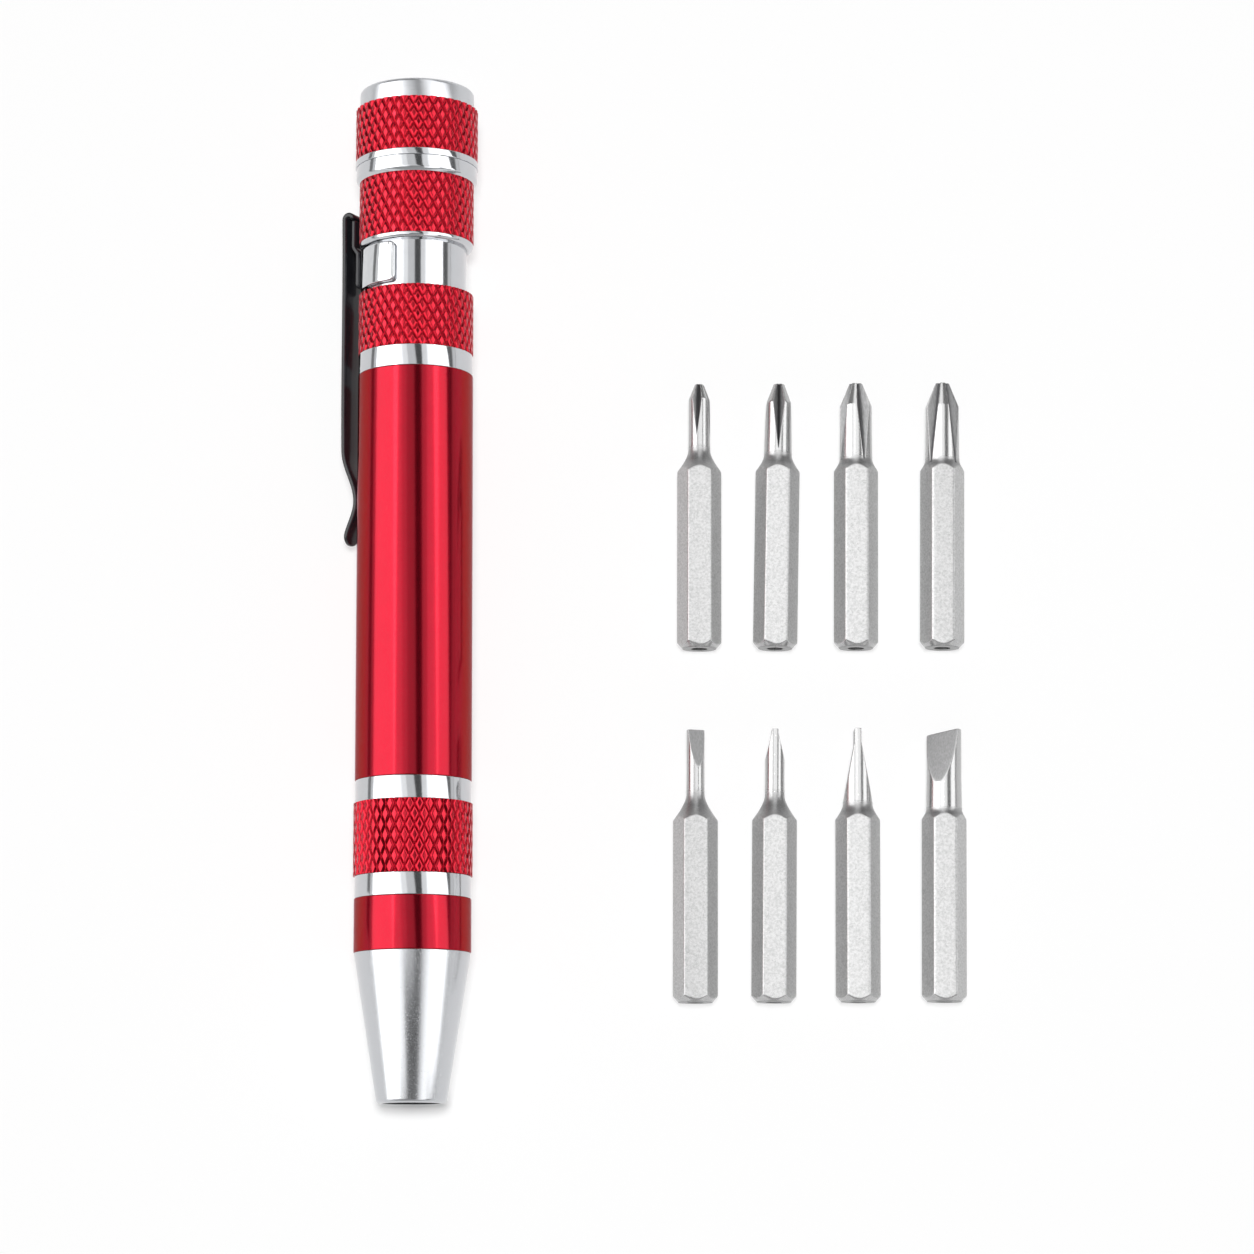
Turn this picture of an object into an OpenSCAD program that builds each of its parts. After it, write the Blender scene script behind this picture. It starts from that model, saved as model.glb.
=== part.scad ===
// Pocket screwdriver: a pen-shaped handle with a pocket clip, lying beside its eight loose hex bits.
// The pen lies along Y with its nose at -Y, and everything rests on the plane z = 0.

/* [Barrel] */
// Outside diameter of the plain red sleeves
sleeve_d = 12; // [10:0.05:14]
// How far the bright rings between the sleeves stand below them
ring_step = 0.05; // [0.03:0.01:0.2]
// Wall of the red sleeves, round the inner tube that shows at the neck
sleeve_wall = 0.75; // [0.65:0.05:0.85]
// Wall of the inner tube
tube_wall = 0.5; // [0.4:0.05:0.7]
// Length of the plain front sleeve
front_sleeve_len = 5.5; // [4:0.1:9]
// Length of the bright ring behind the front sleeve
front_ring_len = 2.3; // [1.5:0.1:4]
// Length of the knurled lower grip
lower_grip_len = 7.45; // [5:0.05:12]
// Length of the bright ring behind the lower grip
lower_ring_len = 2.35; // [1.5:0.05:4]
// Length of the long plain sleeve
main_sleeve_len = 42.5; // [38:0.5:60]
// Length of the bright ring behind the long sleeve
collar_ring_len = 2.2; // [1.5:0.1:4]
// Length of the knurled collar in front of the neck
collar_grip_len = 6.4; // [4:0.1:9]
// Length of the neck, where the inner tube shows
neck_len = 5; // [3.5:0.1:6]
// Length of the rounded bright ring behind the neck
neck_ring_len = 0.55; // [0.5:0.05:1.5]
// Length of the knurled upper grip
upper_grip_len = 6.5; // [5:0.1:9]
// Length of the flange that the cap screws down on
flange_len = 1.65; // [1.2:0.05:2.5]
// How far that flange stands out from the sleeves
flange_step = 0.35; // [0.15:0.05:0.4]

/* [Nose] */
// Length of the tapered nose
nose_len = 15.2; // [15:0.1:20]
// Diameter of the nose at its tip
nose_tip_d = 7.1; // [6.5:0.1:8.5]
// Round on the edge of the tip
nose_edge_r = 0.35; // [0.2:0.05:0.6]
// Depth of the hex socket
socket_depth = 13.5; // [10:0.5:14]
// Diameter of the countersunk mouth of the socket
socket_mouth_d = 5.3; // [5:0.1:5.8]
// Length of the spigot that goes into the tube
spigot_len = 4.3; // [3.5:0.1:6]
// Diameter of the magnet behind the socket
magnet_d = 4; // [3:0.1:4.4]
// Thickness of that magnet
magnet_len = 2.5; // [1.5:0.1:3]

/* [Cap] */
// How far the lip at the mouth of the cap stands out from the sleeves
cap_lip_step = 0.45; // [0.4:0.05:0.6]
// Length of that lip
cap_lip_len = 0.7; // [0.65:0.05:1.2]
// How far the knurled sleeve of the cap stands out from the sleeves
cap_grip_step = 0.42; // [0.3:0.02:0.5]
// Length of that knurled sleeve
cap_grip_len = 5.6; // [4.5:0.1:9]
// Length of the bright end band
cap_end_len = 2.1; // [1.5:0.1:4]
// Round on the edge of the end band
cap_end_r = 0.45; // [0.2:0.05:0.8]
// Wall of the cap under its knurled sleeve
cap_wall = 0.55; // [0.45:0.05:0.6]
// Length of the thread that the cap screws on
thread_len = 5.25; // [3.75:0.75:6]
// Section of the rubber seal ring at the mouth of the cap
seal_section = 0.54; // [0.4:0.02:0.55]

/* [Knurling] */
// Width of one diamond, around the grip
knurl_pitch = 1.04; // [0.8:0.01:1.3]
// Height of one diamond on the upper grips and the cap, along the grip
knurl_rise = 1.85; // [1.4:0.05:2.4]
// Height of one diamond on the lower grip
lower_knurl_rise = 2.1; // [1.4:0.05:2.6]
// Depth of the grooves
knurl_depth = 0.22; // [0.12:0.01:0.28]

/* [Pocket clip] */
// Thickness of the clip's sheet steel
clip_sheet = 0.5; // [0.4:0.05:0.55]
// Arc of the neck that the clip's band wraps
clip_wrap = 192; // [184:2:230]
// How far below level the clip lies when the pen is at rest
clip_drop = 26; // [20:1:30]
// Height of the bend above the neck
clip_bend_rise = 4.5; // [3.5:0.1:6]
// Length of the leaf from the bend to its tip
clip_leaf_len = 35.4; // [30:0.2:42]
// Width of the leaf at the bend
clip_leaf_w = 4.6; // [3.6:0.1:5]
// Width of the leaf at its tip
clip_tip_w = 2.6; // [2:0.1:3.4]
// Inside height of the bend, between the tab and the leaf
clip_bend_gap = 0.45; // [0.3:0.05:0.8]
// Length of the curved tongue at the end of the leaf
clip_tongue_len = 10; // [9:0.2:14]
// Height to which the tip of the tongue flares off the sleeve
clip_flare = 1.3; // [0.6:0.1:1.6]
// How far the leaf bows out above the tongue
clip_belly = 0.3; // [0:0.05:0.3]

/* [Bits] */
// Length of each bit
bit_len = 28.3; // [27.3:0.1:32]
// Hex size of the bits across the flats
hex_af = 4.1; // [3.9:0.05:4.2]
// Length of the hex part
hex_len = 18.7; // [16:0.1:19.2]
// Length of the bevel at the base
base_bevel_len = 0.7; // [0.4:0.05:1]
// Diameter of the flat base
base_d = 3.5; // [3:0.1:3.8]
// Diameter of the centre dimple in the base
dimple_d = 1.7; // [1:0.1:2.4]
// Depth of that dimple
dimple_depth = 0.4; // [0.2:0.05:0.8]
// Shank diameter of the smallest cross bit
cross_000_d = 2.25; // [2:0.05:2.6]
// Shank diameter of the second cross bit
cross_00_d = 2.85; // [2.5:0.05:3.1]
// Shank diameter of the third cross bit
cross_0_d = 3.35; // [3:0.05:3.5]
// Shank diameter of the largest cross bit
cross_1_d = 3.5; // [3.2:0.05:3.7]
// Shank diameter of the smallest slot bit
slot_15_d = 1.85; // [1.6:0.05:2.2]
// Shank diameter of the second slot bit
slot_20_d = 2; // [1.8:0.05:2.4]
// Shank diameter of the third slot bit
slot_30_d = 3; // [2.7:0.05:3.3]
// Shank diameter of the largest slot bit
slot_35_d = 3.6; // [3.3:0.05:3.7]
// Length of the ground blade on the smallest slot bit
slot_15_grind = 3.8; // [2.5:0.1:5]
// Length of the ground blade on the second slot bit
slot_20_grind = 3.7; // [2.5:0.1:5]
// Length of the ground blade on the third slot bit
slot_30_grind = 7.6; // [5:0.1:8]
// Length of the ground blade on the largest slot bit
slot_35_grind = 5.2; // [4:0.1:7]
// Thickness of the blade on the smallest slot bit
slot_15_tip = 0.45; // [0.3:0.05:0.7]
// Thickness of the blade on the other slot bits
slot_tip = 0.8; // [0.5:0.05:1]
// Slant of the edge of the largest slot bit
slot_35_slant = 9; // [0:1:15]

/* [Layout] */
// Distance from the pen's axis to the first bit
bits_start = 29.6; // [26:0.05:45]
// Distance from one bit to the next in a row
bit_pitch = 8.5; // [7:0.1:14]
// Distance from the nose tip to the middle of the row of slot bits
slot_row_mid = 24.5; // [20:0.1:30]
// Distance from the middle of one row to the middle of the other
row_pitch = 36.8; // [34:0.2:44]

/* [Hidden] */
$fn = 96;
// Running clearance between turned pieces that move
run_clear = 0.05;
// Clearance between pieces that are pressed or glued together
seat_clear = 0.02;
// Gap in front of the clip's band in the neck, and the play that is left behind it
band_front_gap = 0.5;
band_play = 0.23;
// Gap between the leaf's tongue and the sleeve
tongue_gap = 0.15;
// Gap between the clip's tab and the knurling that it passes
tab_gap = 0.3;
// Slit between the tab and the bend, where the leaf springs
spring_slit = 0.08;
// Width of the tab against the width of the leaf
tab_share = 0.86;
// Height on the band where the tab starts to step outward
tab_step_share = 0.72;
// Length over which the tab steps outward, against its own step
tab_run_share = 1.2;
// Where the tongue touches the sleeve, along its own length
tongue_low_share = 0.55;
// Corner rounds of the band, against its height
band_corner_share = 0.16;
// Clearance of a bit in the socket, across the flats
socket_clear = 0.1;
// Overrun of every cut past the face that it opens
over = 0.5;
// Half angle of a cross bit's point
cross_point_angle = 22;
// Width of a cross bit's blunt end, against its shank
cross_end_share = 0.2;
// Root of a cross bit's flutes at the point, against its shank
flute_root_share = 0.11;
// Length of a cross bit's flutes, against its shank
flute_len_share = 2.05;
// Length of the flare between hex and shank, against the step in radius
flare_len_share = 2.3;
// How hollow that flare is: 1 is a straight cone
flare_power = 1.5;
// Length of the parallel end of a slot blade, against the ground length
blade_land_share = 0.2;
// Round of the neck ring, against its length
neck_round_share = 0.85;
// Bevel on the lower edge of the flange, against its length
flange_bevel_share = 0.2;
// Places of the bits along their rows, counted in pitches
cross_row_shares = [0, 0.96, 1.935, 3];
slot_row_shares = [-0.075, 0.885, 1.9, 2.95];
// How far each bit lies turned from the pen's direction, clockwise from above
cross_leans = [0.4, 1.4, 0.75, 1];
slot_leans = [0.4, 0.8, 0.6, 0.9];
// Turn of each bit's tip about its own axis, from the flat that lies on top
cross_turns = [-14, 0, 27, 45];
slot_turns = [20, 90, 90, -21];
// Steps in a rounded outline and in the tongue's curve
round_steps = 6;
tongue_steps = 24;

// Stations along the pen, from the tip of the nose
front_ring_at = nose_len + front_sleeve_len;
lower_grip_at = front_ring_at + front_ring_len;
lower_ring_at = lower_grip_at + lower_grip_len;
main_sleeve_at = lower_ring_at + lower_ring_len;
collar_ring_at = main_sleeve_at + main_sleeve_len;
collar_grip_at = collar_ring_at + collar_ring_len;
neck_at = collar_grip_at + collar_grip_len;
neck_ring_at = neck_at + neck_len;
upper_grip_at = neck_ring_at + neck_ring_len;
flange_at = upper_grip_at + upper_grip_len;
cap_at = flange_at + flange_len;
tube_end_at = cap_at + thread_len;
cap_grip_at = cap_at + cap_lip_len;
cap_end_at = cap_grip_at + cap_grip_len;
pen_len = cap_end_at + cap_end_len;

// Diameters and radii that several pieces share
ring_d = sleeve_d - 2 * ring_step;
flange_d = sleeve_d + 2 * flange_step;
cap_lip_d = sleeve_d + 2 * cap_lip_step;
cap_grip_d = sleeve_d + 2 * cap_grip_step;
tube_r = sleeve_d / 2 - sleeve_wall;
bore_r = tube_r - tube_wall;
seat_r = tube_r + seat_clear;
cavity_r = tube_r + run_clear;
cap_core_r = cavity_r + cap_wall;
seal_r = tube_r + (run_clear + seal_section) / 2;
upper_grip_d = sleeve_d;
lower_grip_d = sleeve_d + knurl_depth;
hex_r = hex_af / sqrt(3);
socket_r = (hex_af + socket_clear) / sqrt(3);

// The clip, in radii from the pen's axis and stations along it
band_r = tube_r + run_clear;
band_outer_r = band_r + clip_sheet;
band_len = neck_len - band_front_gap - band_play;
band_at = neck_at + band_front_gap;
tab_r = sleeve_d / 2 + tab_gap;
leaf_r = tab_r + clip_sheet + clip_bend_gap;
bend_r = tab_r + clip_sheet + clip_bend_gap / 2;
bend_outer_r = clip_bend_gap / 2 + clip_sheet;
bend_at = neck_ring_at + clip_bend_rise - bend_outer_r;
leaf_tip_at = neck_ring_at + clip_bend_rise - clip_leaf_len;
tongue_at = leaf_tip_at + clip_tongue_len;
tongue_low_at = leaf_tip_at + clip_tongue_len * (1 - tongue_low_share);
tongue_low_r = sleeve_d / 2 + tongue_gap;
belly_r = leaf_r + clip_belly;
clip_reach = (leaf_r + clip_sheet) * cos(clip_drop) + clip_leaf_w / 2 * sin(clip_drop);

// The layout is centred on the plan of the whole set
bits_reach = bits_start + bit_pitch * cross_row_shares[3] + hex_r * cos(cross_leans[3])
    + (hex_len - bit_len / 2) * sin(cross_leans[3]);
pen_x = (clip_reach - bits_reach) / 2;
nose_y = -pen_len / 2;
axis_h = cap_lip_d / 2;
cross_row_mid = slot_row_mid + row_pitch;

red = "#c2182c";
bright = "#d5d8dc";
satin = "#b9bcc0";
dark = "#26262a";

// Points on an arc round a centre
function arc(centre, r, from, to) =
    [for (k = [0:round_steps])
        let (a = from + (to - from) * k / round_steps)
        centre + r * [cos(a), sin(a)]];

// A smooth step from 0 to 1
function ease(t) = (1 - cos(180 * t)) / 2;

// Puts a shape built along Z from the nose on to the pen's axis
module on_pen(station = 0) {
    translate([pen_x, nose_y, axis_h])
        rotate([-90, 0, 0])
            translate([0, 0, station])
                children();
}

// A plain turned sleeve on the tube
module sleeve(outer_d, len) {
    difference() {
        cylinder(d = outer_d, h = len);
        translate([0, 0, -over])
            cylinder(r = seat_r, h = len + 2 * over);
    }
}

// A knurled sleeve: two sets of crossing grooves leave a diamond between every four crossings
module knurled_sleeve(outer_d, bore, len, rise = knurl_rise) {
    count = round(PI * outer_d / knurl_pitch);
    rows = round(2 * len / rise);
    around = 2 * count;
    peak_r = outer_d / 2;
    floor_r = peak_r - knurl_depth;
    points = [for (row = [0:rows]) for (i = [0:around - 1])
        let (on_groove = row == 0 || row == rows || (i + row) % 2 == 1,
             r = on_groove ? floor_r : peak_r,
             a = 360 * i / around)
        [r * cos(a), r * sin(a), len * row / rows]];
    flanks = [for (row = [0:rows - 1]) for (i = [0:around - 1])
        let (next = (i + 1) % around,
             a = row * around + i,
             b = row * around + next,
             c = b + around,
             d = a + around)
        each (i + row) % 2 == 0 ? [[a, d, b], [b, d, c]] : [[a, d, c], [a, c, b]]];
    front = [for (i = [0:around - 1]) i];
    back = [for (i = [around - 1:-1:0]) rows * around + i];
    difference() {
        polyhedron(points, concat([front, back], flanks));
        translate([0, 0, -over])
            cylinder(r = bore, h = len + 2 * over);
    }
}

// Tapered nose with the hex socket, the magnet's pocket and the spigot that holds the tube
module nose_cone() {
    tip_r = nose_tip_d / 2;
    mouth_r = socket_mouth_d / 2;
    color(satin) on_pen()
        difference() {
            rotate_extrude()
                polygon(concat(
                    [[0, 0]],
                    arc([tip_r - nose_edge_r, nose_edge_r], nose_edge_r, -90, 0),
                    [[ring_d / 2, nose_len],
                     [bore_r - seat_clear, nose_len],
                     [bore_r - seat_clear, nose_len + spigot_len],
                     [0, nose_len + spigot_len]]));
            translate([0, 0, -over])
                cylinder(r = socket_r, h = socket_depth + over, $fn = 6);
            translate([0, 0, -over])
                cylinder(r1 = mouth_r + over, r2 = 0, h = mouth_r + over);
            translate([0, 0, socket_depth - over])
                cylinder(d = magnet_d, h = magnet_len + over);
        }
}

// Round magnet glued in behind the socket
module bit_magnet() {
    color(dark) on_pen(socket_depth + seat_clear)
        cylinder(d = magnet_d - 2 * seat_clear, h = magnet_len - 2 * seat_clear);
}

// Thin tube that carries every sleeve and holds the bits
module inner_tube() {
    color(bright) on_pen(nose_len)
        difference() {
            cylinder(r = tube_r, h = tube_end_at - nose_len);
            translate([0, 0, -over])
                cylinder(r = bore_r, h = tube_end_at - nose_len + 2 * over);
        }
}

module front_sleeve() {
    color(red) on_pen(nose_len) sleeve(sleeve_d, front_sleeve_len);
}

module front_ring() {
    color(bright) on_pen(front_ring_at) sleeve(ring_d, front_ring_len);
}

module lower_grip() {
    color(red) on_pen(lower_grip_at)
        knurled_sleeve(lower_grip_d, seat_r, lower_grip_len, lower_knurl_rise);
}

module lower_ring() {
    color(bright) on_pen(lower_ring_at) sleeve(ring_d, lower_ring_len);
}

module main_sleeve() {
    color(red) on_pen(main_sleeve_at) sleeve(sleeve_d, main_sleeve_len);
}

module collar_ring() {
    color(bright) on_pen(collar_ring_at) sleeve(ring_d, collar_ring_len);
}

module collar_grip() {
    color(red) on_pen(collar_grip_at) knurled_sleeve(upper_grip_d, seat_r, collar_grip_len);
}

// Bright ring that rounds the upper grip down to the neck
module neck_ring() {
    outer_r = ring_d / 2;
    round_r = min(neck_ring_len * neck_round_share, outer_r - seat_r - seat_clear);
    color(bright) on_pen(neck_ring_at)
        rotate_extrude()
            polygon(concat(
                [[seat_r, 0]],
                arc([outer_r - round_r, round_r], round_r, -90, 0),
                [[outer_r, neck_ring_len], [seat_r, neck_ring_len]]));
}

module upper_grip() {
    color(red) on_pen(upper_grip_at) knurled_sleeve(upper_grip_d, seat_r, upper_grip_len);
}

// Flange at the end of the barrel, bevelled down to the upper grip
module flange_ring() {
    color(bright) on_pen(flange_at)
        rotate_extrude()
            polygon([
                [seat_r, 0],
                [upper_grip_d / 2, 0],
                [flange_d / 2, flange_len * flange_bevel_share],
                [flange_d / 2, flange_len],
                [seat_r, flange_len]]);
}

// Cap: a turned cup with a lip, a waist for its knurled sleeve, and a bright end
module cap_shell() {
    lip_r = cap_lip_d / 2;
    end_r = sleeve_d / 2;
    seal_pocket_r = seal_r + (seal_section + run_clear) / 2;
    cavity_end = thread_len + 2 * run_clear;
    color(bright) on_pen(cap_at)
        rotate_extrude()
            polygon(concat(
                [[seal_pocket_r, 0],
                 [lip_r, 0],
                 [lip_r, cap_lip_len],
                 [cap_core_r, cap_lip_len],
                 [cap_core_r, cap_end_at - cap_at],
                 [end_r, cap_end_at - cap_at]],
                arc([end_r - cap_end_r, pen_len - cap_at - cap_end_r], cap_end_r, 0, 90),
                [[0, pen_len - cap_at],
                 [0, cavity_end],
                 [cavity_r, cavity_end],
                 [cavity_r, seal_section + 2 * run_clear],
                 [seal_pocket_r, seal_section + 2 * run_clear]]));
}

module cap_grip() {
    color(red) on_pen(cap_grip_at) knurled_sleeve(cap_grip_d, cap_core_r + seat_clear, cap_grip_len);
}

// Rubber ring in the mouth of the cap
module cap_seal() {
    color(dark) on_pen(cap_at + run_clear + seal_section / 2)
        rotate_extrude()
            translate([seal_r, 0])
                circle(d = seal_section);
}

// Turns a shape that is built outward along X to the side where the clip lies
module on_clip() {
    on_pen()
        rotate([0, 0, 180 - clip_drop])
            children();
}

// A strip drawn as radius and station, with its width across
module strip(outline, w) {
    rotate([90, 0, 0])
        linear_extrude(w, center = true)
            polygon(outline);
}

// Open band that snaps round the neck, with the tab that carries the leaf
module clip_band() {
    corner = band_len * band_corner_share;
    tab_w = clip_leaf_w * tab_share;
    foot_r = band_r + clip_sheet / 4;
    step_at = band_at + band_len * tab_step_share;
    step_end = step_at + (tab_r - foot_r) * tab_run_share;
    color(bright) on_clip() {
        difference() {
            translate([0, 0, band_at])
                rotate([0, 0, -clip_wrap / 2])
                    rotate_extrude(angle = clip_wrap)
                        translate([band_r, 0])
                            square([clip_sheet, band_len]);
            for (end = [0, 1], edge = [0, 1])
                mirror([0, end, 0])
                    rotate([0, 0, clip_wrap / 2])
                        translate([0, 0, band_at + edge * band_len])
                            mirror([0, 0, edge])
                                mirror([0, 1, 0])
                                    corner_cut(corner);
        }
        strip([
            [foot_r, band_at + corner],
            [foot_r + clip_sheet, band_at + corner],
            [foot_r + clip_sheet, step_at],
            [tab_r + clip_sheet, step_end],
            [tab_r + clip_sheet, bend_at - spring_slit],
            [tab_r, bend_at - spring_slit],
            [tab_r, step_end],
            [foot_r, step_at]], tab_w);
    }
}

// What is cut off a corner of the band to round it, in two facets
module corner_cut(corner) {
    mid = corner * (1 - cos(45));
    run = over / tan(22.5);
    rotate([90, 0, 90])
        linear_extrude(band_outer_r + over)
            polygon([[-over, -over], [corner + run, -over], [mid, mid], [-over, corner + run]]);
}

// Radius of the leaf's inner face at a station: a slight belly, then down to the sleeve and off again
function leaf_inner(at) =
    at > tongue_at ? leaf_r + clip_belly * ease((bend_at - at) / (bend_at - tongue_at)) :
    at > tongue_low_at ?
        belly_r + (tongue_low_r - belly_r) * ease((tongue_at - at) / (tongue_at - tongue_low_at)) :
        tongue_low_r + clip_flare * ease((tongue_low_at - at) / (tongue_low_at - leaf_tip_at));

// Spring leaf of the clip, from the bend over the tab to the rounded tongue
module clip_leaf() {
    stations = [for (k = [0:tongue_steps]) bend_at + (leaf_tip_at - bend_at) * k / tongue_steps];
    outer = [for (at = stations) [leaf_inner(at) + clip_sheet, at]];
    inner = [for (k = [tongue_steps:-1:0]) [leaf_inner(stations[k]), stations[k]]];
    tip_r = clip_tip_w / 2;
    color(dark) on_clip()
        intersection() {
            strip(concat(
                arc([bend_r, bend_at], bend_outer_r, 180, 0),
                outer,
                inner,
                arc([bend_r, bend_at], clip_bend_gap / 2, 0, 180)), clip_leaf_w);
            rotate([90, 0, 90])
                linear_extrude(belly_r + clip_sheet + over)
                    polygon(concat(
                        [[clip_leaf_w / 2, bend_at + bend_outer_r + over],
                         [clip_leaf_w / 2, bend_at]],
                        arc([0, leaf_tip_at + tip_r], tip_r, 0, -180),
                        [[-clip_leaf_w / 2, bend_at],
                         [-clip_leaf_w / 2, bend_at + bend_outer_r + over]]));
        }
}

// Puts a bit that is built along Z from its base on to the table, a flat of its hex upward
module on_table(across, along, lean) {
    translate([pen_x + across, nose_y + along, hex_af / 2])
        rotate([-90, 0, -lean])
            translate([0, 0, -bit_len / 2])
                children();
}

// Hex blank, turned down to a round shank that ends in a point of the given outline
module bit_blank(shank_d, point) {
    shank_r = shank_d / 2;
    wide_r = hex_r + over;
    base_r = base_d / 2;
    flare_len = (hex_r - shank_r) * flare_len_share;
    difference() {
        intersection() {
            cylinder(r = hex_r, h = bit_len, $fn = 6);
            rotate_extrude()
                polygon(concat(
                    [[0, 0],
                     [base_r, 0],
                     [wide_r, base_bevel_len * (wide_r - base_r) / (hex_r - base_r)],
                     [wide_r, hex_len - over * flare_len_share / flare_power]],
                    [for (k = [0:round_steps])
                        let (u = k / round_steps)
                        [shank_r + (hex_r - shank_r) * pow(1 - u, flare_power), hex_len + flare_len * u]],
                    point));
        }
        translate([0, 0, -over])
            cylinder(d = dimple_d, h = dimple_depth + over);
    }
}

// Cross bit: a blunt cone cut by four flutes that run out along the shank
module cross_bit(shank_d, turn) {
    shank_r = shank_d / 2;
    end_r = shank_d * cross_end_share;
    root_r = shank_d * flute_root_share;
    flute_len = shank_d * flute_len_share;
    tilt = atan((shank_r - root_r) / flute_len);
    point_len = (shank_r - end_r) / tan(cross_point_angle);
    difference() {
        bit_blank(shank_d, [[shank_r, bit_len - point_len], [end_r, bit_len], [0, bit_len]]);
        for (quarter = [0:90:270])
            rotate([0, 0, turn - 90 + quarter])
                translate([root_r, 0, bit_len])
                    rotate([0, -tilt, 0])
                        translate([0, 0, -flute_len - over])
                            linear_extrude(flute_len + 2 * over)
                                polygon([[0, 0], [shank_d, -shank_d], [shank_d, shank_d]]);
    }
}

// Slot bit: a round shank ground from two sides to a blade, whose edge may be slanted
module slot_bit(shank_d, blade_t, grind, turn, slant = 0) {
    shank_r = shank_d / 2;
    land = grind * blade_land_share;
    slope = (grind - land) / (shank_r - blade_t / 2);
    clear_r = shank_r + run_clear;
    difference() {
        bit_blank(shank_d, [[shank_r, bit_len], [0, bit_len]]);
        rotate([0, 0, turn - 90]) {
            for (side = [0, 1])
                mirror([side, 0, 0])
                    strip([
                        [blade_t / 2, bit_len + over],
                        [blade_t / 2, bit_len - land],
                        [clear_r, bit_len - grind - run_clear * slope],
                        [shank_d, bit_len - grind - run_clear * slope],
                        [shank_d, bit_len + over]], 2 * shank_d);
            if (slant > 0)
                translate([0, shank_r, bit_len])
                    rotate([slant, 0, 0])
                        translate([-shank_d, -2 * shank_d, 0])
                            cube([2 * shank_d, 3 * shank_d, shank_d]);
        }
    }
}

// Distance of a bit from the pen's axis, from its place along the row
function column(share) = bits_start + bit_pitch * share;

module cross_bit_000() {
    color(satin) on_table(column(cross_row_shares[0]), cross_row_mid, cross_leans[0])
        cross_bit(cross_000_d, cross_turns[0]);
}

module cross_bit_00() {
    color(satin) on_table(column(cross_row_shares[1]), cross_row_mid, cross_leans[1])
        cross_bit(cross_00_d, cross_turns[1]);
}

module cross_bit_0() {
    color(satin) on_table(column(cross_row_shares[2]), cross_row_mid, cross_leans[2])
        cross_bit(cross_0_d, cross_turns[2]);
}

module cross_bit_1() {
    color(satin) on_table(column(cross_row_shares[3]), cross_row_mid, cross_leans[3])
        cross_bit(cross_1_d, cross_turns[3]);
}

module slot_bit_15() {
    color(satin) on_table(column(slot_row_shares[0]), slot_row_mid, slot_leans[0])
        slot_bit(slot_15_d, slot_15_tip, slot_15_grind, slot_turns[0]);
}

module slot_bit_20() {
    color(satin) on_table(column(slot_row_shares[1]), slot_row_mid, slot_leans[1])
        slot_bit(slot_20_d, slot_tip, slot_20_grind, slot_turns[1]);
}

module slot_bit_30() {
    color(satin) on_table(column(slot_row_shares[2]), slot_row_mid, slot_leans[2])
        slot_bit(slot_30_d, slot_tip, slot_30_grind, slot_turns[2]);
}

module slot_bit_35() {
    color(satin) on_table(column(slot_row_shares[3]), slot_row_mid, slot_leans[3])
        slot_bit(slot_35_d, slot_tip, slot_35_grind, slot_turns[3], slot_35_slant);
}

nose_cone();
bit_magnet();
inner_tube();
front_sleeve();
front_ring();
lower_grip();
lower_ring();
main_sleeve();
collar_ring();
collar_grip();
neck_ring();
upper_grip();
flange_ring();
cap_shell();
cap_grip();
cap_seal();
clip_band();
clip_leaf();
cross_bit_000();
cross_bit_00();
cross_bit_0();
cross_bit_1();
slot_bit_15();
slot_bit_20();
slot_bit_30();
slot_bit_35();
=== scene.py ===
from math import atan2, ceil, cos, pi, radians, sin, sqrt, tan

import bpy
import numpy as np
from mathutils import Matrix, Vector


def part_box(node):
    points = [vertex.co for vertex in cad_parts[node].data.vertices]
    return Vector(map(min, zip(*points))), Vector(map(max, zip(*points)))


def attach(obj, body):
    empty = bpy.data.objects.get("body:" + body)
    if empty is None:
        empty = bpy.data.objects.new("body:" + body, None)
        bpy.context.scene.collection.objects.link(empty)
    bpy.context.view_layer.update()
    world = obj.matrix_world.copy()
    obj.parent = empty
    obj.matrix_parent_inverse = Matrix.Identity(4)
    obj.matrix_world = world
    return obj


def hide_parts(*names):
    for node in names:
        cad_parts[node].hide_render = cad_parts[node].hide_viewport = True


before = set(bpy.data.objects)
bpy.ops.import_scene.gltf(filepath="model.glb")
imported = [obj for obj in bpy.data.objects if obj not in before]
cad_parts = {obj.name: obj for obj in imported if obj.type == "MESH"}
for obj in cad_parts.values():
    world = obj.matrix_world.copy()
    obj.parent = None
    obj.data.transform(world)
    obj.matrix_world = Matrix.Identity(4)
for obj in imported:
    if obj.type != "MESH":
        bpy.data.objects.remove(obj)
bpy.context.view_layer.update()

bpy.ops.object.select_all(action="DESELECT")

# Nose: a tapered aluminium nose, turned and left satin, with a hex socket broached in its tip.
# A spigot behind its shoulder is pressed into the front end of the tube.
# Pieces are drawn in millimetres along the pen, from the nose tip, and then set in place.
MM = 0.001
sleeve_low, sleeve_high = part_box("main_sleeve")
axis_x = (sleeve_low.x + sleeve_high.x) / 2
axis_z = (sleeve_low.z + sleeve_high.z) / 2
tip_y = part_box("nose_cone")[0].y
tube_r, bore_r, seat_r = 5.25, 4.75, 5.27
ring_r, sleeve_r = 5.95, 6.0
nose_len, nose_tip_r, nose_edge, shoulder_edge = 15.2, 3.55, 0.42, 0.05
spigot_end, spigot_r, spigot_edge = 19.5, 4.73, 0.25
socket_af, socket_depth, mouth_r, mouth_lip = 4.2, 13.5, 2.98, 0.02
magnet_r, magnet_len = 2.0, 2.5
cutter_overrun, weld = 1.0, 0.0001


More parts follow.
